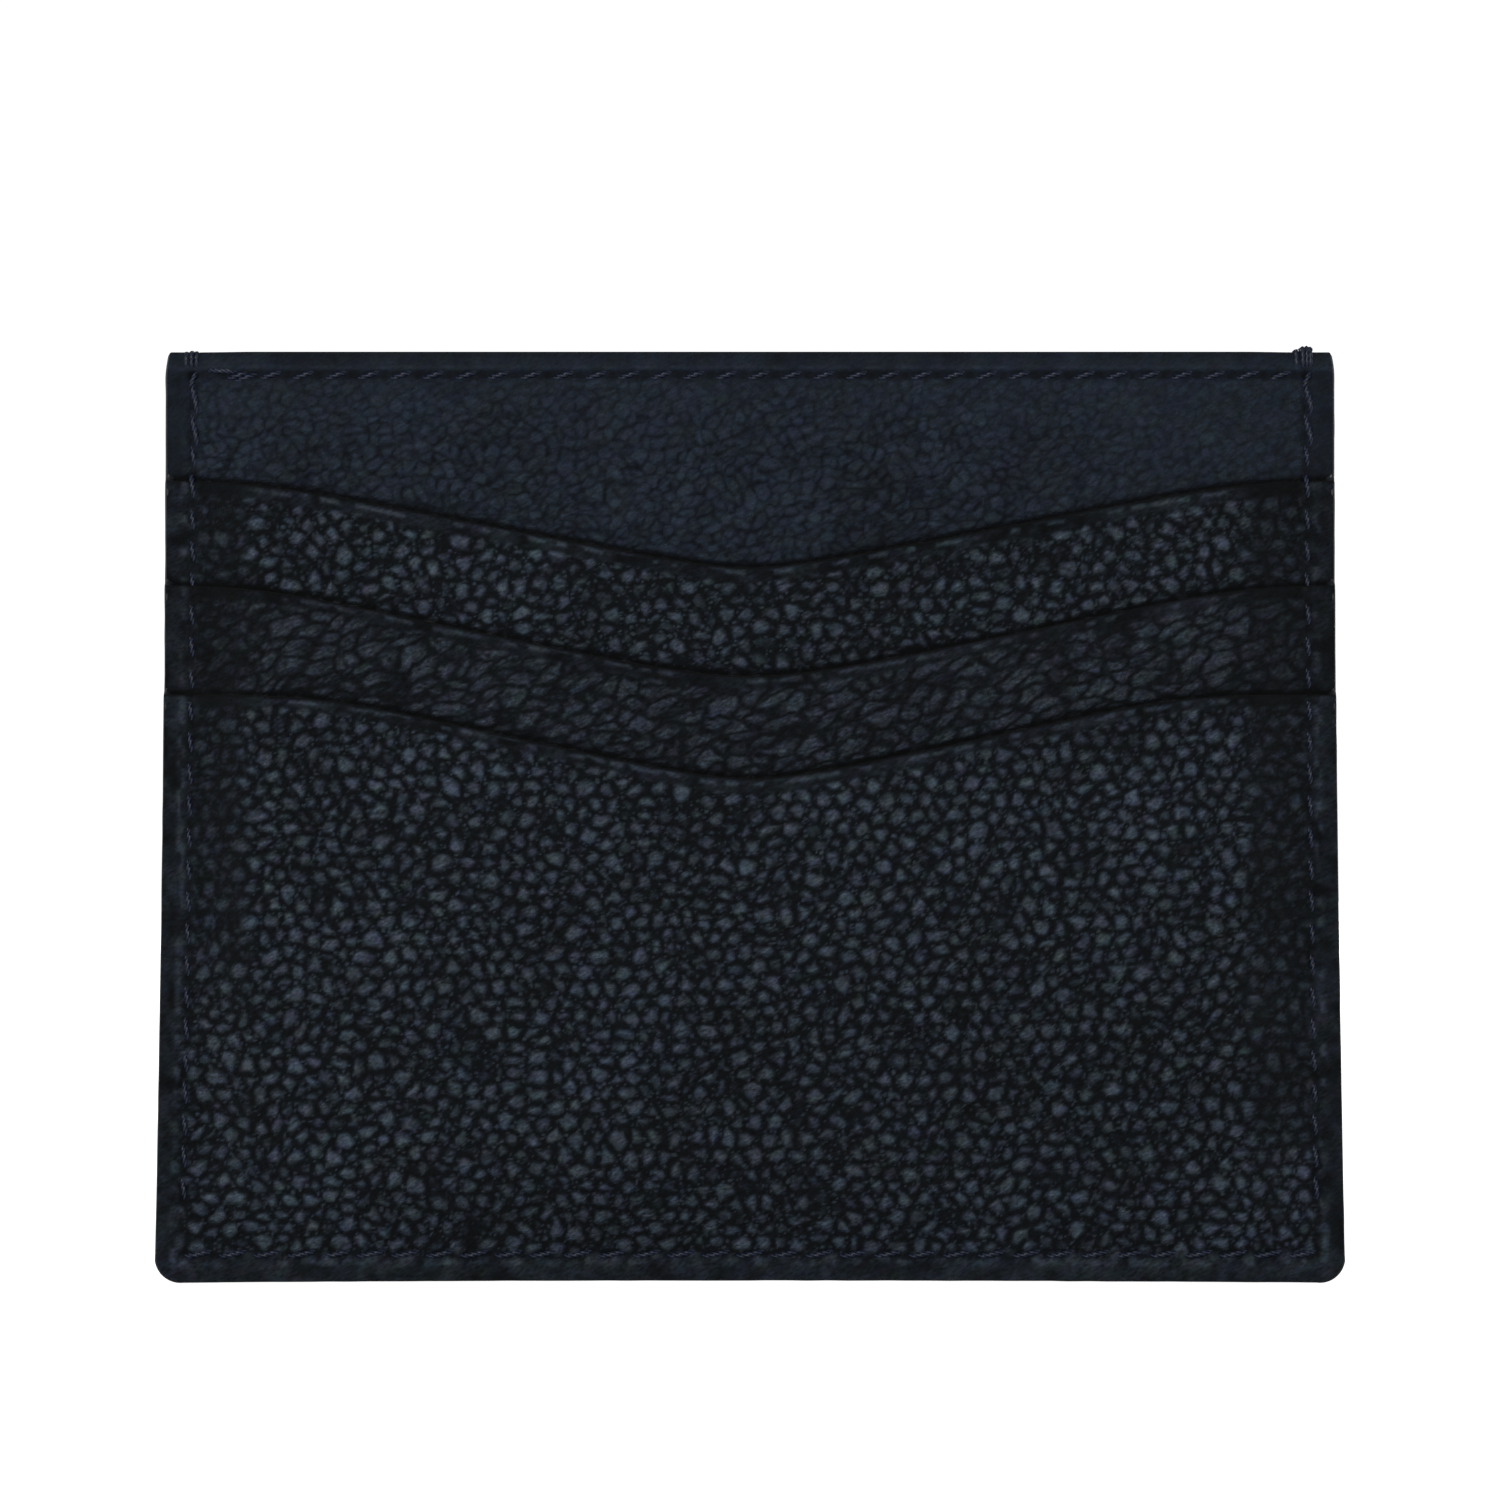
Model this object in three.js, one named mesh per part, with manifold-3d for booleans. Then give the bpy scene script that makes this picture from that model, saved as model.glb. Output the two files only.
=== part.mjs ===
// A two-sided leather card holder: three stepped card slots on each face, and a note pocket between
// the two halves. It is sewn round both sides and the foot, and open at the top.
// Millimetres. X is the width, Z the height, and the front faces -Y. The origin is under the middle.
// Depths are measured from the middle plane towards the outer face of a half.

import * as THREE from 'three';
import { mergeVertices } from 'three/addons/utils/BufferGeometryUtils.js';
import Module from 'manifold-3d';

// Outline
const HEIGHT = 79;
const TOP_WIDTH = 99.4;
const FOOT_WIDTH = 101;
const FLARE_Z = 50; // the sides are upright above this height and flare out below it
const CORNER_R = 2.2;

// The sewn margin, and the free panels inside it
const MARGIN_WIDTH = 4.5; // at the foot
const WINDOW_WIDTH = 92; // between the margins' inner sides
const PAINT_THICK = 0.15;
const GAP = 0.05; // between pieces that lie on each other
const SEAM_GAP = 0.2; // between a margin and the free panels
const PANEL_WIDTH = WINDOW_WIDTH - 2 * SEAM_GAP;
const PANEL_FOOT = MARGIN_WIDTH + SEAM_GAP;

// Layers of one half
const CENTRE_GAP = 0.15; // half of the empty note pocket
const LINING_THICK = 0.2;
const BODY_THICK = 0.75;
const DROP_THICK = 0.15; // lining that hangs from a slot's leather strip down to the slot's floor
const SLOT_GAP = 0.08; // an empty card slot
const STRIP_THICK = 0.58;
const LAYER_STEP = SLOT_GAP + DROP_THICK + GAP + STRIP_THICK; // from one slot's face to the next
const BODY_BACK = CENTRE_GAP + LINING_THICK + GAP;
const BODY_FACE = BODY_BACK + BODY_THICK;
const LINING_TOP = 75.5;

// Card slots, from the innermost to the front one. The leather reaches from foot to lip, and its lip
// falls by dip at the middle, in a shallow V that is open wide at the sides. The lining drop reaches
// from floor up behind the leather.
const SLOTS = [
  { lip: 68.1, dip: 7.5, open: 43, foot: 50, floor: 20, dropTop: 57 },
  { lip: 59.2, dip: 7.7, open: 42, foot: 41, floor: 11, dropTop: 48 },
  { lip: 49.9, dip: 7.1, open: 37, foot: PANEL_FOOT, floor: PANEL_FOOT, dropTop: 41.5 },
];
const V_ROUNDING = 6; // how far the V's bottom is rounded off
const LIP_POINTS = 24;
const FACE = BODY_FACE + SLOTS.length * LAYER_STEP; // outer face of the front slot

// Threads
const SEAM_INSET = 2.5; // from the outline to the perimeter seam
const SEAM_CORNER_R = 1;
const SEAM_TOP = 77.5;
const TOP_SEAM_Z = 77.1;
const TOP_SEAM_WIDTH = 91;
const THREAD_R = 0.2;
const FLOOR_THREAD_R = 0.18;
const FLOOR_SEAM_RISE = 1.5; // above the foot of a lining drop
const FLOOR_SEAM_WIDTH = 88;
const RAMP_START = 1; // the seam climbs onto a slot's face between these heights above its lip
const RAMP_END = 4;
const THREAD_SIDES = 6;
const SEAM_STEPS = 120;
const ARC_SEGMENTS = 5;

const MATERIALS = {
  pebbled: new THREE.MeshStandardMaterial({ color: 0x1f242b, roughness: 0.42, metalness: 0 }),
  fine: new THREE.MeshStandardMaterial({ color: 0x232932, roughness: 0.5, metalness: 0 }),
  lining: new THREE.MeshStandardMaterial({ color: 0x14161a, roughness: 0.85, metalness: 0 }),
  paint: new THREE.MeshStandardMaterial({ color: 0x0c0e12, roughness: 0.35, metalness: 0 }),
  thread: new THREE.MeshStandardMaterial({ color: 0x262e48, roughness: 0.6, metalness: 0 }),
};

const wasm = await Module();
wasm.setup();

// Solid from a closed geometry, and geometry from a solid

function toSolid(geometry) {
  const bare = geometry.clone();
  bare.deleteAttribute('normal');
  bare.deleteAttribute('uv');
  const merged = mergeVertices(bare);
  const mesh = new wasm.Mesh({
    numProp: 3,
    vertProperties: new Float32Array(merged.attributes.position.array),
    triVerts: new Uint32Array(merged.index.array),
  });
  return new wasm.Manifold(mesh);
}

function toGeometry(solid) {
  const mesh = solid.getMesh();
  const geometry = new THREE.BufferGeometry();
  geometry.setAttribute('position', new THREE.BufferAttribute(mesh.vertProperties, 3));
  geometry.setIndex(new THREE.BufferAttribute(mesh.triVerts, 1));
  geometry.computeVertexNormals();
  return geometry;
}

// Basic forms

// A flat shape drawn in X and Z, as a slab between two depths.
function slab(shape, nearDepth, farDepth) {
  const options = { depth: farDepth - nearDepth, bevelEnabled: false, curveSegments: ARC_SEGMENTS };
  const geometry = new THREE.ExtrudeGeometry(shape, options);
  geometry.rotateX(Math.PI / 2);
  geometry.translate(0, -nearDepth, 0);
  return geometry;
}

// A section drawn in Y and Z, drawn out along X over the whole width.
function acrossWidth(section) {
  const width = FOOT_WIDTH + 2;
  const geometry = new THREE.ExtrudeGeometry(section, { depth: width, bevelEnabled: false });
  const turn = new THREE.Matrix4().set(0, 0, 1, 0, 1, 0, 0, 0, 0, 1, 0, 0, 0, 0, 0, 1);
  geometry.applyMatrix4(turn);
  geometry.translate(-width / 2, 0, 0);
  return geometry;
}

function rectangle(width, bottom, top) {
  const shape = new THREE.Shape();
  shape.moveTo(-width / 2, bottom);
  shape.lineTo(width / 2, bottom);
  shape.lineTo(width / 2, top);
  shape.lineTo(-width / 2, top);
  return shape;
}

// Down the left side, along the foot and up the right side, inside the outline by inset.
function traceRim(path, inset, top) {
  const upper = TOP_WIDTH / 2 - inset;
  const lower = FOOT_WIDTH / 2 - inset;
  const r = Math.max(CORNER_R - inset, SEAM_CORNER_R);
  path.moveTo(-upper, top);
  path.lineTo(-upper, FLARE_Z);
  path.lineTo(-lower, inset + r);
  path.absarc(r - lower, inset + r, r, Math.PI, 1.5 * Math.PI, false);
  path.lineTo(lower - r, inset);
  path.absarc(lower - r, inset + r, r, 1.5 * Math.PI, 2 * Math.PI, false);
  path.lineTo(upper, FLARE_Z);
  path.lineTo(upper, top);
  return path;
}

function threadAlong(path, steps, radius) {
  const section = new THREE.Shape();
  for (let i = 0; i < THREAD_SIDES; i++) {
    const angle = (2 * Math.PI * i) / THREAD_SIDES;
    const place = [radius * Math.cos(angle), radius * Math.sin(angle)];
    if (i === 0) section.moveTo(...place);
    else section.lineTo(...place);
  }
  return new THREE.ExtrudeGeometry(section, { steps, extrudePath: path, bevelEnabled: false });
}

function straightThread(width, depth, z, radius) {
  const from = new THREE.Vector3(-width / 2, -depth, z);
  const to = new THREE.Vector3(width / 2, -depth, z);
  return threadAlong(new THREE.LineCurve3(from, to), 1, radius);
}

// Free panels

// Height of a slot's lip at x: level at the sides, and a shallow rounded V in between.
function lipHeight(slot, x) {
  const rise = (at) => Math.hypot(at, V_ROUNDING) - V_ROUNDING;
  const share = Math.min(1, rise(x) / rise(slot.open));
  return slot.lip - slot.dip * (1 - share);
}

function slotLeather(slot, back, face) {
  const half = PANEL_WIDTH / 2;
  const shape = new THREE.Shape();
  shape.moveTo(-half, slot.foot);
  shape.lineTo(half, slot.foot);
  shape.lineTo(half, slot.lip);
  for (let i = 0; i <= LIP_POINTS; i++) {
    const x = slot.open * (1 - (2 * i) / LIP_POINTS);
    shape.lineTo(x, lipHeight(slot, x));
  }
  shape.lineTo(-half, slot.lip);
  return slab(shape, back, face);
}

function panel(bottom, top, nearDepth, farDepth) {
  return slab(rectangle(PANEL_WIDTH, bottom, top), nearDepth, farDepth);
}

// Sewn margin and edge paint

// The outer face of a half in steps, one for each slot's lip, as [depth, height] from the foot up.
function facePoints() {
  const points = [[FACE, 0]];
  let depth = FACE;
  for (const slot of [...SLOTS].reverse()) {
    points.push([depth, slot.lip]);
    depth -= LAYER_STEP;
    points.push([depth, slot.lip]);
  }
  points.push([depth, HEIGHT]);
  return points;
}

function steppedSection(innerPoints) {
  const outer = facePoints().map(([depth, z]) => new THREE.Vector2(-depth, z));
  const inner = innerPoints.map(([y, z]) => new THREE.Vector2(y, z));
  return new THREE.Shape([...outer, ...inner]);
}

function sewnMargin() {
  const outline = traceRim(new THREE.Shape(), PAINT_THICK + GAP, HEIGHT);
  const section = steppedSection([[-GAP, HEIGHT], [-GAP, 0]]);
  const windowBox = slab(rectangle(WINDOW_WIDTH, MARGIN_WIDTH, HEIGHT + 1), -1, FACE + 1);
  const band = toSolid(slab(outline, 0, FACE)).intersect(toSolid(acrossWidth(section)));
  return toGeometry(band.subtract(toSolid(windowBox)));
}

function edgePaint() {
  const outside = slab(traceRim(new THREE.Shape(), 0, HEIGHT), -FACE, FACE);
  const inside = slab(traceRim(new THREE.Shape(), PAINT_THICK, HEIGHT + 1), -FACE - 1, FACE + 1);
  const backFace = facePoints().reverse();
  const section = steppedSection(backFace);
  const band = toSolid(outside).subtract(toSolid(inside));
  return toGeometry(band.intersect(toSolid(acrossWidth(section))));
}

// Perimeter seam

class SeamPath extends THREE.Curve {
  constructor() {
    super();
    this.trace = traceRim(new THREE.Path(), SEAM_INSET, SEAM_TOP);
  }

  getPoint(t) {
    const place = this.trace.getPoint(t);
    return new THREE.Vector3(place.x, -seamDepth(place.y), place.y);
  }
}

// The seam lies on the stepped face, and climbs each step just above the slot's lip.
function seamDepth(z) {
  let depth = BODY_FACE + GAP + THREAD_R;
  for (const { lip } of SLOTS) {
    const climbed = 1 - THREE.MathUtils.smoothstep(z, lip + RAMP_START, lip + RAMP_END);
    depth += LAYER_STEP * climbed;
  }
  return depth;
}

// Assembly

const cardHolder = new THREE.Group();
cardHolder.name = 'card_holder';

function add(group, name, geometry, material) {
  const mesh = new THREE.Mesh(geometry, material);
  mesh.name = name;
  group.add(mesh);
}

function addPanel(half, side) {
  const lining = panel(PANEL_FOOT, LINING_TOP, CENTRE_GAP, CENTRE_GAP + LINING_THICK);
  add(half, `${side}_body_lining`, lining, MATERIALS.lining);
  add(half, `${side}_body_leather`, panel(PANEL_FOOT, HEIGHT, BODY_BACK, BODY_FACE), MATERIALS.fine);
  const threadDepth = BODY_FACE + GAP + THREAD_R;
  const thread = straightThread(TOP_SEAM_WIDTH, threadDepth, TOP_SEAM_Z, THREAD_R);
  add(half, `${side}_top_thread`, thread, MATERIALS.thread);
}

function addSlot(half, side, slot, index) {
  const name = `${side}_slot_${index + 1}`;
  const dropBack = BODY_FACE + index * LAYER_STEP + SLOT_GAP;
  const dropFace = dropBack + DROP_THICK;
  const drop = panel(slot.floor, slot.dropTop, dropBack, dropFace);
  add(half, `${name}_lining`, drop, MATERIALS.lining);
  const leather = slotLeather(slot, dropFace + GAP, dropFace + GAP + STRIP_THICK);
  add(half, `${name}_leather`, leather, MATERIALS.pebbled);
  if (slot.floor === PANEL_FOOT) return; // the front slot's floor is the perimeter seam
  const seamZ = slot.floor + FLOOR_SEAM_RISE;
  const seamDepthHere = dropFace + GAP + FLOOR_THREAD_R;
  const seam = straightThread(FLOOR_SEAM_WIDTH, seamDepthHere, seamZ, FLOOR_THREAD_R);
  add(half, `${name}_floor_thread`, seam, MATERIALS.thread);
}

function addHalf(side, turn) {
  const half = new THREE.Group();
  half.rotation.z = turn;
  add(half, `${side}_sewn_margin`, sewnMargin(), MATERIALS.pebbled);
  add(half, `${side}_seam_thread`, threadAlong(new SeamPath(), SEAM_STEPS, THREAD_R), MATERIALS.thread);
  addPanel(half, side);
  SLOTS.forEach((slot, index) => addSlot(half, side, slot, index));
  cardHolder.add(half);
}

addHalf('front', 0);
addHalf('back', Math.PI);
add(cardHolder, 'edge_paint', edgePaint(), MATERIALS.paint);

export default cardHolder;
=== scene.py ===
"""Looks for a two-sided leather card holder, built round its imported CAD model.

Everything is worked out in millimetres in one half's own terms: x across, z up, and depth from the
middle plane out to the half's face. place() turns that into the shared frame, in metres, for the
front half (facing -Y) or the back half (the same, turned round Z).
"""

import math

import bpy
import numpy as np
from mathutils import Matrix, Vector


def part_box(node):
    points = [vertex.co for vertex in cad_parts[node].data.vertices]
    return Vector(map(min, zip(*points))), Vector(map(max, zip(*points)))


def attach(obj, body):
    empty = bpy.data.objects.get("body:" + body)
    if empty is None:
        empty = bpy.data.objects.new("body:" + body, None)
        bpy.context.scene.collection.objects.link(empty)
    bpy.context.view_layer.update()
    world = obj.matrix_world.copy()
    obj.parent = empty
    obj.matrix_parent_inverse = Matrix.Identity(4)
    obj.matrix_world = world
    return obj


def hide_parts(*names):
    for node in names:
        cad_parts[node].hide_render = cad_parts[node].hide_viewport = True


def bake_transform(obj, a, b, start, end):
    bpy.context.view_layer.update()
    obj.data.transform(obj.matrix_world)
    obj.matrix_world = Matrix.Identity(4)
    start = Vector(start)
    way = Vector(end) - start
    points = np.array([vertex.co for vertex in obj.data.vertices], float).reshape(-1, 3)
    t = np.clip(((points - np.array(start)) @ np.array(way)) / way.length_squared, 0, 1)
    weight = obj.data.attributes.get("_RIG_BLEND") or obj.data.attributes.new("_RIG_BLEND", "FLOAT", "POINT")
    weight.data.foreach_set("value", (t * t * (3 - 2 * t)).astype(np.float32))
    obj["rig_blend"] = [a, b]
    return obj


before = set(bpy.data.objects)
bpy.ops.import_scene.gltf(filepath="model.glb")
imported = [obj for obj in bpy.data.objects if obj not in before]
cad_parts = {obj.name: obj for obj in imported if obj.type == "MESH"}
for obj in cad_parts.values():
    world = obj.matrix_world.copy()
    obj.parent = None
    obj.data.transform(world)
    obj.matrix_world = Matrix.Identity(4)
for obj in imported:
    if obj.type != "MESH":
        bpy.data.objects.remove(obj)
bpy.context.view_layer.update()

MM = 0.001
ROW = math.sqrt(0.75)  # height of a honeycomb's rows, one unit apart


def box_mm(node):
    low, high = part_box(node)
    return np.array(low) / MM, np.array(high) / MM


# ---------------------------------------------------------------- outline, from the frame

_, EDGE_HIGH = box_mm("edge_paint")
HEIGHT = EDGE_HIGH[2]
FOOT_HALF = EDGE_HIGH[0]
FLARE = 0.8  # how much each side spreads from the mouth to the foot
TOP_HALF = FOOT_HALF - FLARE
FLARE_Z = 55.0
CORNER_R = 2.2
FOOT_BOW = 0.2  # how far the foot edge rises in the middle
EDGE_IN = 0.2  # the edge paint stands this far proud of the leather

# ---------------------------------------------------------------- layers of one half
# Sheet 0 is the body and sheets 1 to 3 are the slots, from the innermost out.

LIPS = [HEIGHT] + [box_mm(f"front_slot_{k}_leather")[1][2] for k in (1, 2, 3)]
FEET = [0.0] + [box_mm(f"front_slot_{k}_leather")[0][2] for k in (1, 2)] + [0.0]
DROP_FEET = [box_mm(f"front_slot_{k}_lining")[0][2] for k in (1, 2, 3)]
LINING_TOP = box_mm("front_body_lining")[1][2]
HINGE_Z = box_mm("front_slot_3_leather")[0][2]

LIP_DIP = [0.0, 7.46, 7.75, 7.11]  # how far each lip falls at the middle
LIP_OPEN = [1.0, 42.7, 42.2, 36.5]  # how far out its V opens
LIP_ROUNDING = [1.0, 4.3, 6.8, 4.8]  # how round the V's bottom is
LIP_SOFTNESS = 11.0  # how suddenly the V runs out into the level sides

MARGIN_DEPTH = [0.95, 1.38, 1.84, 2.3]  # outer faces in the sewn margin
FIELD_RISE = [0.5, 0.8, 1.1, 1.4]  # and how much further out they lie inside the seams
SHEET_THICK = 0.4
THINNEST = 0.04  # the least that a sheet's grain and edges leave of it
SKIVED = 0.18  # a sheet is this much thinner where a lining's edge is tucked in behind it
INNER_DEPTH = [0.05, 0.35]  # the body's inner face, in the margin and in the field
LINING_THICK = 0.16
LINING_GAP = [0.05, 0.07, 0.07, 0.08]  # between a lining and the leather in front of it
FIELD_HALF = 46.6  # the field starts to rise here
FIELD_SLOPE = 4.8  # and is up this much further in
LINING_HALF = FIELD_HALF - 1.2
LINING_DROP = 2.0  # from a lip's lowest point down to its lining
SLOT_3_FALL = 0.3  # the front slot is flatter low down, where no other slot lies behind it

# ---------------------------------------------------------------- seams

SEAM_INSET = 2.4
SEAM_FOOT_Z = 2.55
SEAM_TOP_Z = 77.4
TOP_SEAM_Z = box_mm("front_top_thread")[0][2] + 0.1
TOP_SEAM_HALF = 45.6
TOP_SEAM_SHIFT = 0.8  # of the middle stitch, to the right
SIDE_PITCH, FOOT_PITCH, TOP_PITCH = 2.7, 2.92, 2.76
THREAD_R = 0.2
FLOOR_THREAD_R = 0.1
SIDE_STITCH, FOOT_STITCH, TOP_STITCH, FLOOR_STITCH, KNOT = 1.9, 2.2, 1.9, 2.1, 1.5  # lengths
SIDE_SLANT, FOOT_SLANT, TOP_SLANT, KNOT_SLANT = 7, 11, 19, -25  # degrees from the row
HOLE_DEPTH = 0.3  # how far a stitch's ends go in

CREASE_IN = 1.25  # from a cut edge in to the crease pressed along it
BAND = [2.0, 0.9, 0.75, 0.7]  # width of the smooth band below each lip
BAND_MIDDLE = [0.0, 0.0, 0.1, 0.3]  # and how much wider it is at the middle
GRAIN_IN = 1.0  # the grain starts this far in from the side and foot edges
LIP_R = [0.3, 0.22, 0.22, 0.22]  # radius of each rolled lip
EDGE_R = 0.28  # and of the sides' and the foot's cut edges
SPACING = {"front": 0.17, "back": 0.21}  # between the leather's surface points
HIDDEN_SPACING = 1.5
INNER_STEP = 12  # the unseen inner face has one point for this many

# ---------------------------------------------------------------- small mathematics


def smooth(t):
    t = np.clip(t, 0.0, 1.0)
    return t * t * (3 - 2 * t)


def bell(t, width):
    return np.exp(-((t / width) ** 2))


def scatter(i, j, seed):
    """Two repeatable random numbers from 0 to 1 for each integer cell."""
    a = np.sin(i * 127.1 + j * 311.7 + seed * 74.7) * 43758.5453
    b = np.sin(i * 269.5 + j * 183.3 + seed * 31.3) * 28001.8384
    return a - np.floor(a), b - np.floor(b)


def noise(x, z, seed):
    """Smooth noise from -1 to 1 with features about one unit across."""
    i, j = np.floor(x), np.floor(z)
    u, v = smooth(x - i), smooth(z - j)
    a = scatter(i, j, seed)[0]
    b = scatter(i + 1, j, seed)[0]
    c = scatter(i, j + 1, seed)[0]
    d = scatter(i + 1, j + 1, seed)[0]
    return 2 * ((a + (b - a) * u) * (1 - v) + (c + (d - c) * u) * v) - 1


def cells(x, z, seed, spread, jitter):
    """Scattered centres about one unit apart, in shifted rows as in a honeycomb. Returns half the
    difference of the distances to the two nearest, which is 0 on the line between them, then the
    distance to the nearest and a random number of its own. With spread, some reach further."""
    row = np.floor(z / ROW)
    first = np.full(x.shape, 9.0)
    second = np.full(x.shape, 9.0)
    radius = np.zeros(x.shape)
    tone = np.zeros(x.shape)
    for dj in (-2, -1, 0, 1, 2):
        j = row + dj
        shift = 0.5 * np.mod(j, 2)
        column = np.floor(x - shift)
        for di in (-1, 0, 1):
            i = column + di
            rx, rz = scatter(i, j, seed)
            reach = scatter(i, j, seed + 17)[0]
            dx = i + shift + 0.5 + jitter * (rx - 0.5) - x
            dz = (j + 0.5) * ROW + jitter * (rz - 0.5) - z
            away = np.hypot(dx, dz)
            d = away - spread * reach
            closer = d < first
            second = np.where(closer, first, np.minimum(second, d))
            tone = np.where(closer, reach, tone)
            radius = np.where(closer, away, radius)
            first = np.where(closer, d, first)
    return (second - first) / 2, radius, tone


def turned(x, z, degrees):
    c, s = math.cos(math.radians(degrees)), math.sin(math.radians(degrees))
    return x * c + z * s, z * c - x * s


# ---------------------------------------------------------------- outline and layers


def half_width(z):
    """Half the width of the outline at height z."""
    flare = FLARE * np.clip((FLARE_Z - z) / FLARE_Z, 0, 1) ** 1.4
    below = np.clip(CORNER_R - z, 0, CORNER_R)
    corner = CORNER_R - np.sqrt(np.maximum(CORNER_R**2 - below**2, 0))
    shoulder = 0.3 * np.clip((z - HEIGHT + 2.5) / 2.5, 0, 1) ** 2
    return TOP_HALF + flare - corner - shoulder


def foot_bow(x):
    return FOOT_BOW * np.clip(1 - (x / FOOT_HALF) ** 2, 0, 1)


def soft_top(share):
    return np.log1p(np.exp((1 - share) * LIP_SOFTNESS)) / LIP_SOFTNESS


def lip_height(k, x):
    """Height of sheet k's upper edge at x: level for the body, a soft V for a slot."""
    r = LIP_ROUNDING[k]
    full = math.hypot(LIP_OPEN[k], r) - r
    end = soft_top((math.hypot(FOOT_HALF, r) - r) / full)
    fallen = (soft_top((np.hypot(x, r) - r) / full) - end) / (soft_top(0.0) - end)
    return LIPS[k] - LIP_DIP[k] * fallen


def field(x, z):
    """0 in the sewn margin, 1 in the card-shaped field inside it."""
    side = smooth((FIELD_HALF - np.abs(x)) / FIELD_SLOPE)
    return side * smooth((z - 3.2) / 6.0)


def face_depth(k, x, z):
    """Outer face of sheet k, without its grain."""
    fall = SLOT_3_FALL * smooth((40 - z) / 30) if k == 3 else 0.0
    return MARGIN_DEPTH[k] + (FIELD_RISE[k] - fall) * field(x, z)


def top_sheet(x, z):
    """The number of the outermost sheet at a point."""
    return max(k for k in range(4) if z <= lip_height(k, x) or k == 0)


def opening(x, z):
    """How far a point goes with its swinging panel: not at all at the seams, fully at mid-mouth."""
    across = np.clip(1 - (np.abs(x) / (FIELD_HALF - 0.4)) ** 2, 0, 1) ** 1.25
    return across * smooth((z - HINGE_Z) / 9.0)


# ---------------------------------------------------------------- grain of the leather
# pebbles, folds and fine_grain each return the depth below the tops of the grain, in mm and 0 or
# less, and how near a top a point is, from 0 to 1. Sizes are across and up. The material colours
# that second value from dark to light: painted shade in the valleys and creases and a painted
# highlight on the tops, over the grain's own mottled tone.

PEBBLE_WIDE, PEBBLE_HIGH, PEBBLE_DEEP = 1.62, 1.5, 0.18
CRUMB_WIDE, CRUMB_HIGH = 0.62, 0.55  # between pebbles
SCALE_WIDE, SCALE_HIGH, SCALE_DEEP = 2.5, 1.2, 0.12
FLAKE_WIDE, FLAKE_HIGH = 0.62, 0.42  # on the scales
SCALE_SLOPE = 22  # degrees, rising to the right
CELL_WIDE, CELL_HIGH, CELL_DEEP = 1.2, 1.05, 0.1
SIDE_STEEP_AT = 41.0, 40.5  # where the field's left and right sides steepen


def warped(x, z, size, amount, seed):
    """Coordinates bent at a wide scale, which keeps rows of cells from running straight."""
    wx = x + amount * noise(x / size, z / size, seed + 3)
    wz = z + amount * noise(x / size, z / size, seed + 4)
    return wx, wz


def ragged(x, z, seed):
    """Coordinates jogged at a fine scale, which makes outlines drawn with them uneven."""
    return x + 0.13 * noise(x / 0.55, z / 0.5, seed), z + 0.13 * noise(x / 0.5, z / 0.55, seed + 1)


def soft_min(a, b, softness):
    share = np.clip(0.5 + 0.5 * (b - a) / softness, 0, 1)
    return b * (1 - share) + a * share - softness * share * (1 - share)


def creases(x, z, seed, length, height, slope, width):
    """Fine wandering lines, mostly along the slope, that come and go."""
    lx, lz = turned(x, z, slope)
    gap, _, _ = cells(lx / length, lz / height, seed, 0.3, 0.9)
    strength = 0.55 + 0.9 * noise(x / 5.0, z / 3.5, seed + 1)
    return bell(gap * height, width) * np.clip(strength, 0, 1)


def speckle(x, z, seed, slope=18, stretch=1.0):
    """Fine crumbs, longer along the slope."""
    lx, lz = turned(x, z, slope)
    coarse = noise(lx / (0.55 * stretch), lz / 0.34, seed)
    fine = noise(lx / (0.3 * stretch), lz / 0.2, seed + 1)
    return np.clip(0.5 + 0.55 * coarse + 0.35 * fine, 0, 1)


def island(gap, narrow, width):
    """0 in the narrow valley between cells, rising to 1 over the width inside it."""
    return smooth((gap - narrow) / width)


def pebbles(x, z, seed):
    """Close round pebbles with narrow valleys, a few crumbs where they meet, and wandering creases. The tops
    carry a painted highlight that grows towards the left.
    """
    wx, wz = ragged(*warped(x, z, 3.4, 0.4, seed), seed + 60)
    gap, radius, tone = cells(wx / PEBBLE_WIDE, wz / PEBBLE_HIGH, seed, 0.24, 0.66)
    rounded = soft_min(0.66 + 0.08 * tone - radius, gap, 0.06)
    dome = island(rounded, 0.06, 0.3)
    gap, radius, small = cells(wx / CRUMB_WIDE, wz / CRUMB_HIGH, seed + 31, 0.3, 0.9)
    crumbs = 0.03 + 0.5 * island(soft_min(0.16 + 0.3 * small - radius, gap, 0.05), 0.02, 0.2)
    left_top = smooth((x + 5) / -30) * smooth((z - 20) / 25)
    lines = creases(wx, wz, seed + 9, 6.0, 2.1, 8, 0.07 + 0.05 * left_top)
    split = creases(wx, wz, seed + 23, 3.4, 2.6, 62, 0.05)
    # painted highlight: the tops are made lighter towards the left, where more light falls; the speckle is
    # the leather's own mottle
    left_painted_sheen = 1 + 0.1 * smooth((-12 - x) / 20)
    mottle_and_painted_sheen = (0.72 + 0.45 * speckle(wx, wz, seed + 5, 28, 1.5)) * left_painted_sheen
    top = np.maximum(dome * (0.8 + 0.2 * tone) * mottle_and_painted_sheen, crumbs * (1 - dome))
    top = top * (1 - 0.65 * lines) * (1 - 0.45 * split)
    return PEBBLE_DEEP * (top - 1), top


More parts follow.
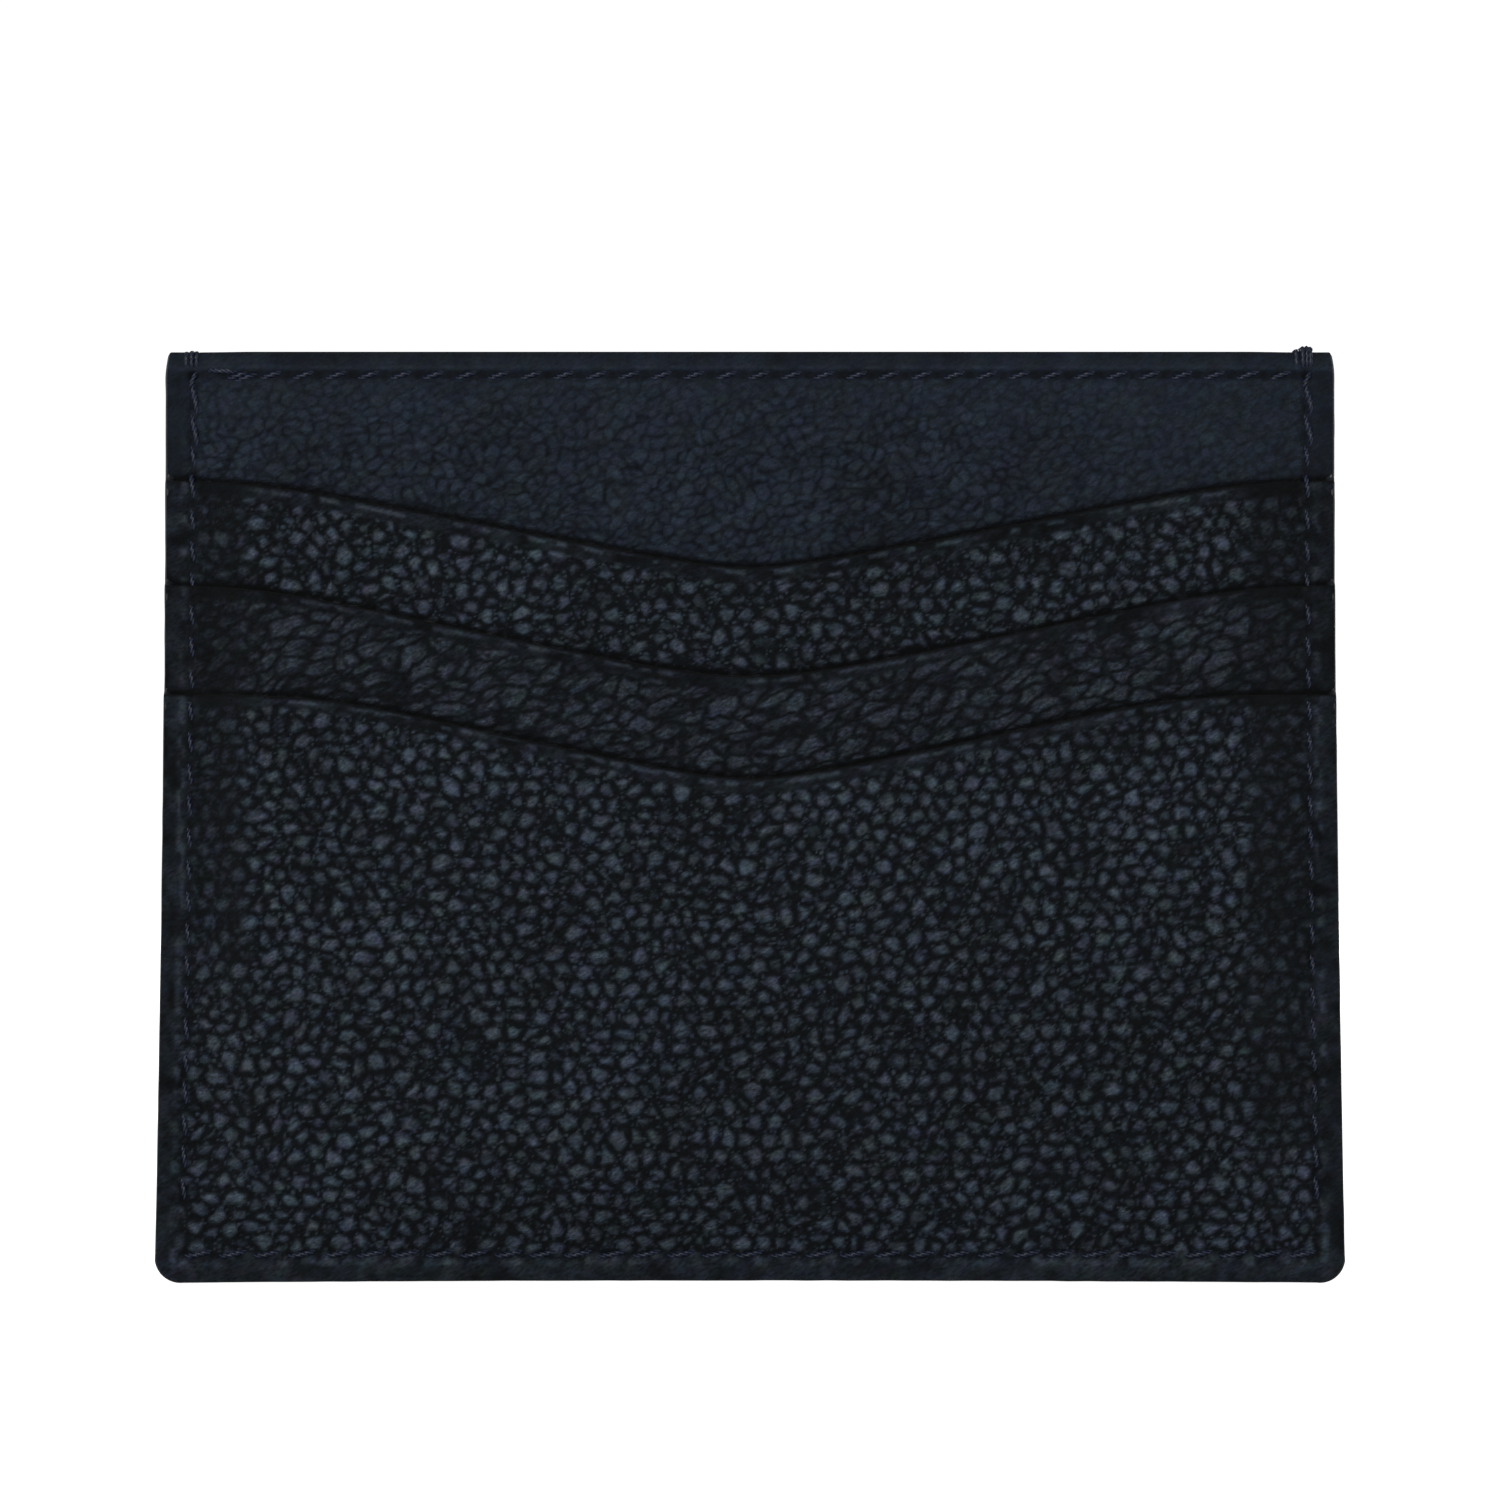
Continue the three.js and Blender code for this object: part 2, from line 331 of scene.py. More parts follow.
def folds(x, z, seed):
    """Long scales in rows that rise to the right, broken up into crumbs."""
    wx, wz = ragged(*warped(x, z, 3.0, 0.55, seed), seed + 60)
    lx, lz = turned(wx, wz, SCALE_SLOPE)
    gap, _, tone = cells(lx / SCALE_WIDE, lz / SCALE_HIGH, seed, 0.3, 0.8)
    scale = island(gap, 0.02, 0.22)
    gap, _, small = cells(lx / FLAKE_WIDE, lz / FLAKE_HIGH, seed + 31, 0.3, 0.9)
    crumbs = 0.5 * island(gap, 0.0, 0.3) * (0.4 + 0.6 * small) + 0.5 * speckle(wx, wz, seed + 5)
    lines = creases(wx, wz, seed + 12, 4.5, 1.1, 15, 0.06)
    top = scale * (0.1 + 0.25 * tone + 0.8 * crumbs) * (1 - 0.75 * lines) + 0.16 * crumbs
    return SCALE_DEEP * (top - 1), top


def fine_grain(x, z, seed):
    """Low cells with thin creases round them, fainter upwards and to the right."""
    wx, wz = ragged(*warped(x, z, 3.0, 0.5, seed), seed + 60)
    gap, _, tone = cells(wx / CELL_WIDE, wz / CELL_HIGH, seed, 0.3, 0.8)
    plateau = island(gap, 0.0, 0.22) * (0.7 + 0.3 * tone)
    lines = creases(wx, wz, seed + 12, 3.2, 1.3, 22, 0.055)
    top = (0.6 * plateau + 0.45 * speckle(wx, wz, seed + 5, 28, 1.6)) * (1 - 0.6 * lines)
    shown = smooth((HEIGHT + 2.0 - z) / 11.0) * (1 - 0.5 * smooth((x - 18) / 20.0))
    shown = 0.3 + 0.7 * shown
    return CELL_DEEP * shown * (top - 1), 0.6 + shown * (top - 0.6)


GRAINS = [fine_grain, pebbles, folds, pebbles]


# ---------------------------------------------------------------- pressed edges and seams


def edge_distances(k, x, z):
    """Distances below the lip, in from the outline's sides, and up from the foot."""
    slope = np.gradient(lip_height(k, x), axis=1) / np.maximum(np.gradient(x, axis=1), 1e-6)
    below_lip = (lip_height(k, x) - z) / np.sqrt(1 + slope**2)
    from_side = half_width(np.maximum(z, CORNER_R)) - np.abs(x)
    from_foot = z - foot_bow(x) if FEET[k] == 0 else np.full_like(z, 99.0)
    return below_lip, from_side, from_foot


def rolled(distance, radius):
    """Fall of a rounded edge, over its last radius."""
    short = np.clip(radius - distance, 0, radius)
    return radius - np.sqrt(np.maximum(radius**2 - short**2, 0))


def seam_groove(along, across, pitch, width, depth):
    """A seam's groove, with a needle hole at each stitch's end."""
    phase = (along / pitch - np.floor(along / pitch)) - 0.5
    hole = bell(phase * pitch, 0.3) * bell(across, 0.28)
    return depth * bell(across, width) + 0.14 * hole


def seams(k, x, z):
    """How deep the perimeter seam and the mouth's seam press into sheet k."""
    across = np.abs(x) - (half_width(z) - SEAM_INSET)
    side = seam_groove(z, across, SIDE_PITCH, 0.4, 0.18) * smooth((z - 1.5) / 1.5)
    inside = smooth((0.6 - across) / 0.6)
    if k == 0:
        along = x - TOP_SEAM_SHIFT
        return side + inside * seam_groove(along, z - TOP_SEAM_Z, TOP_PITCH, 0.3, 0.18)
    if k == 3:
        return side + inside * seam_groove(x, z - SEAM_FOOT_Z, FOOT_PITCH, 0.42, 0.12)
    return side


def steep_sides(x, z):
    """1 on the field's steep sides, except low down, where the grain shows again. There the grain is
    flattened and the pressed bands are painted darker as shade.
    """
    left = smooth((-SIDE_STEEP_AT[0] - x) / 3.0) * smooth((z - 20) / 12)
    right = smooth((x - SIDE_STEEP_AT[1]) / 3.0) * smooth((z - 8) / 8)
    return left + right


def mouth_relief(x, below_lip):
    """The body's rolled mouth and the puckers under its stitches: depth to add, and the puckers."""
    waves = 0.5 - 0.5 * np.cos(2 * math.pi * (x - TOP_SEAM_SHIFT) / TOP_PITCH)
    puckers = 0.8 * bell(below_lip - 1.42, 0.22) * (0.4 + 0.6 * waves)
    swell = 0.12 * bell(below_lip - 0.95, 0.6)
    return swell + 0.12 * puckers - rolled(below_lip, LIP_R[0]), puckers


def lip_relief(k, x, below_lip, seed):
    """A slot's rolled lip and the pressed bumps along it: depth to add, and the bumps."""
    wander = 0.08 * noise(x / 2.2, below_lip / 9.0, seed + 42)
    blots = smooth(0.42 + 1.3 * noise(x / 0.8, below_lip / 0.5, seed + 40))
    bumps = bell(below_lip - 0.44 - wander, 0.22) * blots * smooth((44 - np.abs(x)) / 6)
    crease = 0.05 * bell(below_lip - 1.0, 0.3)
    return 0.06 * bumps - crease - rolled(below_lip, LIP_R[k]), bumps


def pressed_shade(k, x, z, below_lip, from_foot, seed):
    """How near a top the flat bands look, in blotches."""
    if k == 0:
        base = 0.25 + 0.14 * bell(below_lip - 1.0, 0.6)
    else:
        base = 0.11 + 0.08 * bell(from_foot, 3.0)
    small = 0.1 * noise(x / 0.8, z / 0.9, seed + 50)
    return base + small + 0.12 * noise(x / 2.1, z / 1.7, seed + 51)


def behind_next_lip(k, x, z):
    """How far sheet k falls away into the gap behind the next lip, and how strong a painted shadow lies
    there.
    """
    if k == 3:
        return 0.0, 0.0
    above = z - lip_height(k + 1, x)
    fall = 0.3 * smooth((0.6 - above) / 0.6) * smooth((above + 2.0) / 1.2)
    return fall, bell(above - 0.15, 0.3)


def leather_relief(k, x, z, seed):
    """Depth to add to face_depth, and the point attributes that the material reads."""
    below_lip, from_side, from_foot = edge_distances(k, x, z)
    from_cut = np.minimum(from_side, from_foot)
    grain, top = GRAINS[k](x, z, seed)
    is_slot = k > 0

    # grain is flattened in the pressed bands along the edges and on the field's steep sides
    band = BAND[k] + BAND_MIDDLE[k] * bell(x, 12.0)
    steep = steep_sides(x, z) * is_slot
    keep = smooth((from_cut - GRAIN_IN) / 2.2) * smooth((below_lip - band) / 0.6)
    keep = keep * (1 - 0.6 * steep)

    lip, bumps = lip_relief(k, x, below_lip, seed) if is_slot else mouth_relief(x, below_lip)
    flattened = smooth(0.3 + 1.6 * noise(x / 0.9, z / 0.9, seed + 41))
    outer_row = bell(from_cut - 1.75, 0.38) * flattened * is_slot
    seam = seams(k, x, z)
    fall, dark = behind_next_lip(k, x, z)
    depth = grain * keep + lip + 0.05 * outer_row - seam - fall
    depth = depth - 0.04 * bell(from_cut - CREASE_IN, 0.2)
    depth = depth - rolled(from_side, EDGE_R) - rolled(from_foot, EDGE_R)

    inside = smooth((half_width(z) - SEAM_INSET - np.abs(x)) / 0.8)
    # painted shade: the pressed bands are darker on the steep sides, where they turn away from the lamps
    flat = pressed_shade(k, x, z, below_lip, from_foot, seed) * (1 - 0.8 * steep * inside)
    # painted highlight: raised bumps along the lips, puckers under the mouth's stitches and the outer row of
    # flattened grain are made lighter, as the grain's tops are
    flat = flat + 0.48 * bumps + 0.4 * outer_row
    # the slots' rolled lips are edge-painted dark; the seams' grooves and needle holes get painted shade,
    # and the gap behind the next lip a painted shadow
    cut = (1 - smooth((below_lip - 0.02) / 0.2)) * is_slot
    cut = cut + 0.7 * np.clip(seam / 0.35, 0, 1) + dark
    attributes = {
        "grain_top": top * keep + (1 - keep) * flat,
        "grain_keep": keep,
        "paint_and_painted_shade": np.minimum(cut, 1),
    }
    return depth, attributes


# ---------------------------------------------------------------- meshes


def place(side, x, depth, z):
    turn = 1 if side == "front" else -1
    x, depth, z = np.broadcast_arrays(x, depth, z)
    return np.stack([turn * x, -turn * depth, z], axis=-1).reshape(-1, 3) * MM


def make_mesh(name, points, faces, flat_from=None):
    mesh = bpy.data.meshes.new(name)
    mesh.from_pydata(points.tolist(), [], faces)
    smooth_faces = np.ones(len(mesh.polygons), bool)
    if flat_from is not None:
        smooth_faces[flat_from:] = False
    mesh.polygons.foreach_set("use_smooth", smooth_faces)
    mesh.update()
    piece = bpy.data.objects.new(name, mesh)
    bpy.context.scene.collection.objects.link(piece)
    return piece


def set_attribute(piece, name, values):
    attribute = piece.data.attributes.get(name) or piece.data.attributes.new(name, "FLOAT", "POINT")
    attribute.data.foreach_set("value", np.asarray(values, np.float32).ravel())


def every(count, step):
    return list(range(0, count - 1, step)) + [count - 1]


def closed_sheet(name, outer, inner, shape, step):
    """One closed sheet: a fine outer grid, an inner grid with one point for every step points, and
    walls between their borders. Rows go up and columns across. Also returns what the inner grid picks."""
    rows, columns = shape
    front = np.arange(rows * columns).reshape(rows, columns)
    up, over = every(rows, step), every(columns, step)
    back = (np.arange(len(up) * len(over)) + rows * columns).reshape(len(up), len(over))
    quads = np.stack([front[:-1, :-1], front[:-1, 1:], front[1:, 1:], front[1:, :-1]], -1)
    inside = np.stack([back[:-1, :-1], back[1:, :-1], back[1:, 1:], back[:-1, 1:]], -1)
    faces = quads.reshape(-1, 4).tolist() + inside.reshape(-1, 4).tolist()
    flat_from = len(faces)
    for a, (b, c) in enumerate(zip(over, over[1:])):
        faces.append(front[0, b : c + 1][::-1].tolist() + back[0, a : a + 2].tolist())
        faces.append(front[-1, b : c + 1].tolist() + back[-1, a : a + 2][::-1].tolist())
    for a, (b, c) in enumerate(zip(up, up[1:])):
        faces.append(front[b : c + 1, 0].tolist() + back[a : a + 2, 0][::-1].tolist())
        faces.append(front[b : c + 1, -1][::-1].tolist() + back[a : a + 2, -1].tolist())
    picked = np.ix_(up, over)
    grid = inner.reshape(rows, columns, 3)[picked]
    points = np.concatenate([outer, grid.reshape(-1, 3)])
    return make_mesh(name, points, faces, flat_from), picked


def sheet_rows(k, spacing):
    """Heights of the rows as shares from 0 at the sheet's foot to 1 at its lip."""
    length = LIPS[k] - FEET[k]
    start = LIPS[1] - LIP_DIP[1] - 2 if k == 0 else FEET[k]
    hidden = np.arange(FEET[k], start, HIDDEN_SPACING)
    shown = np.arange(start, LIPS[k], spacing)
    near_lip = LIPS[k] - np.array([0.0, 0.03, 0.07, 0.12])
    near_foot = CORNER_R * (1 - np.cos(np.linspace(0, 0.9, 9))) if FEET[k] == 0 else []
    heights = np.concatenate([hidden, shown, near_lip, near_foot])
    return np.unique(np.round((heights - FEET[k]) / length, 6))


def inner_face(k, x, z):
    """Inner face of sheet k, cut back where a lining's edges are tucked in behind it."""
    tucked = np.maximum(bell(np.abs(x) - LINING_HALF, 2.1), bell(z - HINGE_Z, 2.5))
    if k > 0:
        return face_depth(k, x, z) - SHEET_THICK + SKIVED * tucked
    return INNER_DEPTH[0] + (INNER_DEPTH[1] - INNER_DEPTH[0]) * field(x, z) + 0.15 * tucked


def leather_sheet(side, k, seed):
    """Body or slot leather, from outline to outline."""
    spacing = SPACING[side]
    across = np.linspace(-1, 1, int(2 * FOOT_HALF / spacing))
    across = np.unique(np.concatenate([across, [-0.9985, 0.9985, -0.996, 0.996]]))
    u, v = np.meshgrid(across, sheet_rows(k, spacing))
    lift = EDGE_IN if FEET[k] == 0 else 0.0
    lip = lip_height(k, u * (TOP_HALF - EDGE_IN))
    foot = FEET[k] + lift + (foot_bow(u * FOOT_HALF) if lift else 0.0)
    z = foot + v * (lip - foot)
    x = u * (half_width(z - lift * (z < CORNER_R)) - EDGE_IN)
    depth, attributes = leather_relief(k, x, z, seed)
    behind = inner_face(k, x, z)
    outer = place(side, x, np.maximum(face_depth(k, x, z) + depth, behind + THINNEST), z)
    inner = place(side, x, behind, z)
    name = f"{side}_body" if k == 0 else f"{side}_slot_{k}"
    piece, picked = closed_sheet(f"{name}_leather_skin", outer, inner, x.shape, INNER_STEP)
    for key, values in attributes.items():
        unseen = np.zeros_like(values[picked])
        set_attribute(piece, key, np.concatenate([values.ravel(), unseen.ravel()]))
    weights = opening(x, z)
    return piece, np.concatenate([weights.ravel(), weights[picked].ravel()])


def lining_depth(k, x, z):
    """Inner face of the lining behind sheet k, which has a soft ripple."""
    ripple = 0.03 * noise(x / 9.0, z / 14.0, k) * field(x, z)
    return inner_face(k, x, z) - LINING_THICK - LINING_GAP[k] - np.abs(ripple)


def lining_sheet(side, name, k, low, high):
    """The plain lining sheet behind sheet k, LINING_THICK thick."""
    across = np.linspace(-LINING_HALF, LINING_HALF, int(2 * LINING_HALF / 1.2))
    up = np.linspace(low, high, int((high - low) / 1.2))
    x, z = np.meshgrid(across, up)
    depth = lining_depth(k, x, z)
    outer = place(side, x, depth + LINING_THICK, z)
    inner = place(side, x, depth, z)
    piece, picked = closed_sheet(f"{side}_{name}_cloth", outer, inner, x.shape, 1)
    weights = opening(x, z)
    return piece, np.concatenate([weights.ravel(), weights[picked].ravel()])


# ---------------------------------------------------------------- thread

PLIES = 3
PLY_TWIST = 0.52  # length of thread in which a ply goes a third of the way round
RING = 16


def rope(path, radius):
    """A twisted thread along a path of (x, depth, z) in mm: its points, its faces and how near the
    top of a ply each point is, from 0 to 1."""
    path = np.asarray(path)
    along = np.gradient(path, axis=0)
    along /= np.linalg.norm(along, axis=1)[:, None]
    span = path[-1] - path[0]
    reference = np.array([0.0, 1.0, 0.0]) if abs(span[1]) < np.abs(span).max() else [1.0, 0, 0]
    sideways = np.cross(along, reference)
    sideways /= np.linalg.norm(sideways, axis=1)[:, None]
    outward = np.cross(sideways, along)
    travel = np.concatenate([[0], np.cumsum(np.linalg.norm(np.diff(path, axis=0), axis=1))])
    angle = np.linspace(0, 2 * math.pi, RING, endpoint=False)[None, :]
    turn = (travel / PLY_TWIST * 2 * math.pi / PLIES)[:, None]
    ply_top = 0.5 + 0.5 * np.cos(PLIES * (angle - turn))
    lobed = radius * (0.7 + 0.35 * ply_top)
    ring = path[:, None, :] + lobed[..., None] * (
        np.cos(angle)[..., None] * sideways[:, None, :] + np.sin(angle)[..., None] * outward[:, None, :]
    )
    count = len(path)
    index = np.arange(count * RING).reshape(count, RING)
    after = np.roll(index, -1, axis=1)
    faces = np.stack([index[:-1], after[:-1], after[1:], index[1:]], -1).reshape(-1, 4).tolist()
    faces += [index[0][::-1].tolist(), index[-1].tolist()]
    return ring.reshape(-1, 3), faces, ply_top.ravel() ** 2


def stitch_path(x, z, direction, length, depth, rise, hole=HOLE_DEPTH):
    """A stitch over the leather's face: its ends dive into their needle holes."""
    t = np.linspace(0, 1, 31)
    away = (t - 0.5) * length
    lift = np.sin(math.pi * t) ** 0.6
    out = depth - hole + (hole + rise) * lift
    return np.stack([x + direction[0] * away, out, z + direction[1] * away], axis=1)


def slanted(dx, dz, degrees):
    """The direction (dx, dz), turned by some degrees."""
    angle = math.atan2(dz, dx) + math.radians(degrees)
    return math.cos(angle), math.sin(angle)


def seam_depth(x, z):
    """The outermost leather face at a point."""
    return float(face_depth(top_sheet(x, z), np.array(x), np.array(z)))


def perimeter_stitches():
    """One face's stitches down the left side, along the foot and up the right side, with a few more
    at each end where the seam is locked by sewing back over itself."""
    paths = []
    side_slant = slanted(0, 1, SIDE_SLANT)
    for sign in (-1, 1):
        first = math.ceil((SEAM_FOOT_Z + 0.8) / SIDE_PITCH)
        last = int(SEAM_TOP_Z / SIDE_PITCH)
        for n in range(first, last):
            z = (n + 1.0) * SIDE_PITCH
            x = sign * float(half_width(z) - SEAM_INSET)
            face = seam_depth(x, z)
            paths.append(stitch_path(x, z, side_slant, SIDE_STITCH, face - 0.29, 0.13))
            if n >= last - 2:
                paths.append(stitch_path(x + 0.24, z - 0.9, side_slant, SIDE_STITCH, face - 0.12, 0.2))
        face = seam_depth(x, SEAM_TOP_Z)
        knot_slant = slanted(0, 1, KNOT_SLANT)
        paths.append(stitch_path(x, SEAM_TOP_Z - 0.7, knot_slant, KNOT, face - 0.2, 0.1))
    count = int((FOOT_HALF - SEAM_INSET - 0.6) / FOOT_PITCH)
    foot_slant = slanted(1, 0, FOOT_SLANT)
    for n in range(-count, count + 1):
        x = n * FOOT_PITCH
        face = seam_depth(x, SEAM_FOOT_Z)
        paths.append(stitch_path(x, SEAM_FOOT_Z, foot_slant, FOOT_STITCH, face - 0.1, 0.17))
    return paths


def mouth_stitches():
    """The row along the mouth's folded edge, locked by two more stitches at its left end."""
    paths = []
    count = int(TOP_SEAM_HALF / TOP_PITCH)
    for n in range(-count, count + 1):
        x = n * TOP_PITCH + TOP_SEAM_SHIFT
        slant = slanted(1, 0, TOP_SLANT)
        depth = seam_depth(x, TOP_SEAM_Z) - 0.14
        paths.append(stitch_path(x, TOP_SEAM_Z, slant, TOP_STITCH, depth, 0.17))
        if n == -count:
            paths.append(stitch_path(x + 0.6, TOP_SEAM_Z - 0.2, slant, TOP_STITCH, depth, 0.2))
            paths.append(stitch_path(x - 1.3, TOP_SEAM_Z + 0.35, slanted(1, 0, -4), 2.4, depth, 0.2))
    return paths


def floor_stitches(side, k):
    """The row that closes slot k's floor, over the foot of its lining."""
    low, high = box_mm(f"{side}_slot_{k}_floor_thread")
    z = (low[2] + high[2]) / 2
    count = int((high[0] - 1) / TOP_PITCH)
    paths = []
    for n in range(-count, count + 1):
        x = n * TOP_PITCH
        depth = float(lining_depth(k, np.array(x), np.array(z))) + LINING_THICK
        paths.append(stitch_path(x, z, (1, 0), FLOOR_STITCH, depth, -0.03, 0.1))
    return paths


def thread_piece(name, side, paths, radius):
    """One piece with a rope along every path, and how far each point goes with its panel."""
    points, faces, tops = [], [], []
    for path in paths:
        ring, ring_faces, ply_top = rope(path, radius)
        start = sum(len(p) for p in points)
        points.append(ring)
        faces += [[i + start for i in face] for face in ring_faces]
        tops.append(ply_top)
    points = np.concatenate(points)
    piece = make_mesh(name, place(side, points[:, 0], points[:, 1], points[:, 2]), faces)
    set_attribute(piece, "ply_top", np.concatenate(tops))
    return piece, opening(points[:, 0], points[:, 2])


def edge_wrap(x, proud):
    """One turn of the seam's locking stitches, over the mouth's edge from one face to the other."""
    t = np.linspace(-1, 1, 41)
    reach = MARGIN_DEPTH[0] + 0.06
    over = np.abs(np.sin(t * math.pi / 2)) ** 0.5
    sunk = 0.4 * smooth((np.abs(t) - 0.85) / 0.15)
    fall = (np.clip(np.abs(t) - 0.4, 0, 1) / 0.6) ** 1.4
    depth = np.sign(t) * (reach * over - sunk)
    return np.stack([np.full_like(t, x), depth, HEIGHT + proud - (1.5 + proud) * fall], axis=1)


# ---------------------------------------------------------------- edge paint


def outline(spacing):
    """Points round both sides and the foot, and the outward direction at each."""
    side_z = np.arange(HEIGHT - 0.02, CORNER_R, -spacing)
    right = np.stack([half_width(side_z), side_z], axis=1)
    angle = np.linspace(0, math.pi / 2, 14)[1:]
    centre = FOOT_HALF - CORNER_R
    corner = np.stack([centre + CORNER_R * np.cos(angle), CORNER_R - CORNER_R * np.sin(angle)], axis=1)
    foot_x = np.arange(centre - spacing, 0, -spacing)
    foot = np.stack([foot_x, foot_bow(foot_x)], axis=1)
    half = np.concatenate([right, corner, foot, [[0.0, FOOT_BOW]]])
    mirrored = half[:-1][::-1] * [-1, 1]
    points = np.concatenate([half, mirrored])
    along = np.gradient(points, axis=0)
    along /= np.linalg.norm(along, axis=1)[:, None]
    return points, np.stack([-along[:, 1], along[:, 0]], axis=1)


def margin_depth(z):
    """Outer face of the margin at height z, stepping at each lip."""
    depth = np.full_like(z, MARGIN_DEPTH[0])
    for k in (1, 2, 3):
        depth += (MARGIN_DEPTH[k] - MARGIN_DEPTH[k - 1]) * smooth((LIPS[k] + 0.1 - z) / 0.2)
    return depth


PAINT_R = 0.32  # how far the painted edge rounds off towards the faces
PAINT_BACK = 0.8  # how far in the band's hidden back lies
PAINT_TAPER = 0.8  # and its depth as a share of the front's


def paint_relief(points, depth, share):
    """How far the paint stands out at each share of the half's depth: round, wavy, faintly lined."""
    round_off = (1 - np.abs(share) ** 5) ** 0.5
    joints = np.zeros_like(depth * share)
    for face in [0.0] + MARGIN_DEPTH[:3]:
        shown = face < depth - 0.1
        joints += shown * bell(np.abs(share) * depth - face, 0.09)
    waves = 0.02 * noise(points[:, :1] / 1.7 + points[:, 1:] / 1.7, share * 2, 5)
    proud = -PAINT_R + PAINT_R * round_off - 0.035 * joints + waves * round_off
    ends = np.clip((HEIGHT - points[:, 1]) / 0.3, 0, 1)[:, None]
    return proud - 0.15 * (1 - np.sqrt(1 - (1 - ends) ** 2))


def edge_paint_band():
    """The painted edge of the sewn layers, from mouth to mouth round the foot."""
    points, outward = outline(0.3)
    depth = margin_depth(points[:, 1])[:, None]
    share = np.sin(np.linspace(-1, 1, 49) * math.pi / 2)[None, :]
    proud = paint_relief(points, depth, share)
    outer_xz = points[:, None, :] + proud[..., None] * outward[:, None, :]
    inner_xz = (points - PAINT_BACK * outward)[:, None, :].repeat(2, axis=1)
    x = np.concatenate([outer_xz[..., 0], inner_xz[..., 0]], axis=1)
    z = np.concatenate([outer_xz[..., 1], inner_xz[..., 1]], axis=1)
    inner_depth = np.concatenate([PAINT_TAPER * depth, -PAINT_TAPER * depth], axis=1)
    y = np.concatenate([(depth - 0.02) * share, inner_depth], axis=1)
    count, ring = y.shape
    index = np.arange(count * ring).reshape(count, ring)
    after = np.roll(index, -1, axis=1)
    faces = np.stack([index[:-1], index[1:], after[1:], after[:-1]], -1).reshape(-1, 4).tolist()
    faces += [index[0].tolist(), index[-1][::-1].tolist()]
    return make_mesh("edge_paint_band", place("front", x, y, z), faces)


# ---------------------------------------------------------------- materials


def new_material(name):
    material = bpy.data.materials.new(name)
    material.use_nodes = True
    nodes = material.node_tree.nodes
    return material, nodes, material.node_tree.links, nodes["Principled BSDF"]


def node(nodes, kind, **values):
    made = nodes.new(kind)
    for key, value in values.items():
        if key in made.inputs:
            made.inputs[key].default_value = value
        else:
            setattr(made, key, value)
    return made


def colour(r, g, b):
    """Linear colour from 0 to 255 display values."""

    def linear(v):
        v /= 255
        return v / 12.92 if v <= 0.04045 else ((v + 0.055) / 1.055) ** 2.4

    return (linear(r), linear(g), linear(b), 1.0)


def mixed(nodes, links, factor, a, b, **values):
    """A colour mix whose ends are colours or sockets."""
    mix = node(nodes, "ShaderNodeMix", data_type="RGBA", **values)
    for name, value in (("Factor", factor), ("A", a), ("B", b)):
        sockets = [s for s in mix.inputs if s.name == name and s.enabled]
        if isinstance(value, bpy.types.NodeSocket):
            links.new(value, sockets[0])
        else:
            sockets[0].default_value = value
    return next(s for s in mix.outputs if s.enabled)


def ranged(nodes, links, value, low, high, start=0.0, end=1.0):
    made = node(nodes, "ShaderNodeMapRange")
    made.inputs["From Min"].default_value = start
    made.inputs["From Max"].default_value = end
    made.inputs["To Min"].default_value = low
    made.inputs["To Max"].default_value = high
    links.new(value, made.inputs["Value"])
    return made.outputs["Result"]


def summed(nodes, links, a, share, b):
    """a * share + b."""
    made = node(nodes, "ShaderNodeMath", operation="MULTIPLY_ADD")
    made.inputs[1].default_value = share
    links.new(a, made.inputs[0])
    links.new(b, made.inputs[2])
    return made.outputs["Value"]


def streaked_coordinates(nodes, links, coord):
    """Coordinates that stretch a texture into short streaks, rising to one side."""
    streaked = node(nodes, "ShaderNodeMapping", vector_type="TEXTURE")
    streaked.inputs["Rotation"].default_value = (0, math.radians(-28), 0)
    streaked.inputs["Scale"].default_value = (2.2, 1, 1)
    links.new(coord, streaked.inputs["Vector"])
    return streaked.outputs["Vector"]


def leather_tone(nodes, links, coord, grain, valley, crown, mottled):
    """Colour from the dark valley to the light crown, which paints shade into the grain's valleys and a
    highlight onto its tops, with wide patches, fine mottle and small shifts of tint.
    """
    patches = node(nodes, "ShaderNodeTexNoise", Scale=70.0, Detail=2.0)
    links.new(coord, patches.inputs["Vector"])
    streaks = streaked_coordinates(nodes, links, coord)
    mottle = node(nodes, "ShaderNodeTexNoise", Scale=4500.0, Detail=1.0)
    links.new(streaks, mottle.inputs["Vector"])
    tint = node(nodes, "ShaderNodeTexNoise", Scale=1100.0, Detail=2.0)
    links.new(streaks, tint.inputs["Vector"])

    base = 0.875 - 0.5 * mottled
    shade = ranged(nodes, links, patches.outputs["Fac"], base - 0.15, base + 0.15, 0.3, 0.7)
    shade = summed(nodes, links, mottle.outputs["Fac"], mottled, shade)
    grey = node(nodes, "ShaderNodeCombineColor")
    for socket in grey.inputs[:3]:
        links.new(shade, socket)
    # painted shade and highlight: the valley colour goes into the grain's valleys and creases, the light
    # crown colour onto its tops
    tone = mixed(nodes, links, grain, valley, crown)
    tone = mixed(nodes, links, 1.0, tone, grey.outputs["Color"], blend_type="MULTIPLY")
    return mixed(nodes, links, 0.35, tone, tint.outputs["Color"], blend_type="OVERLAY")


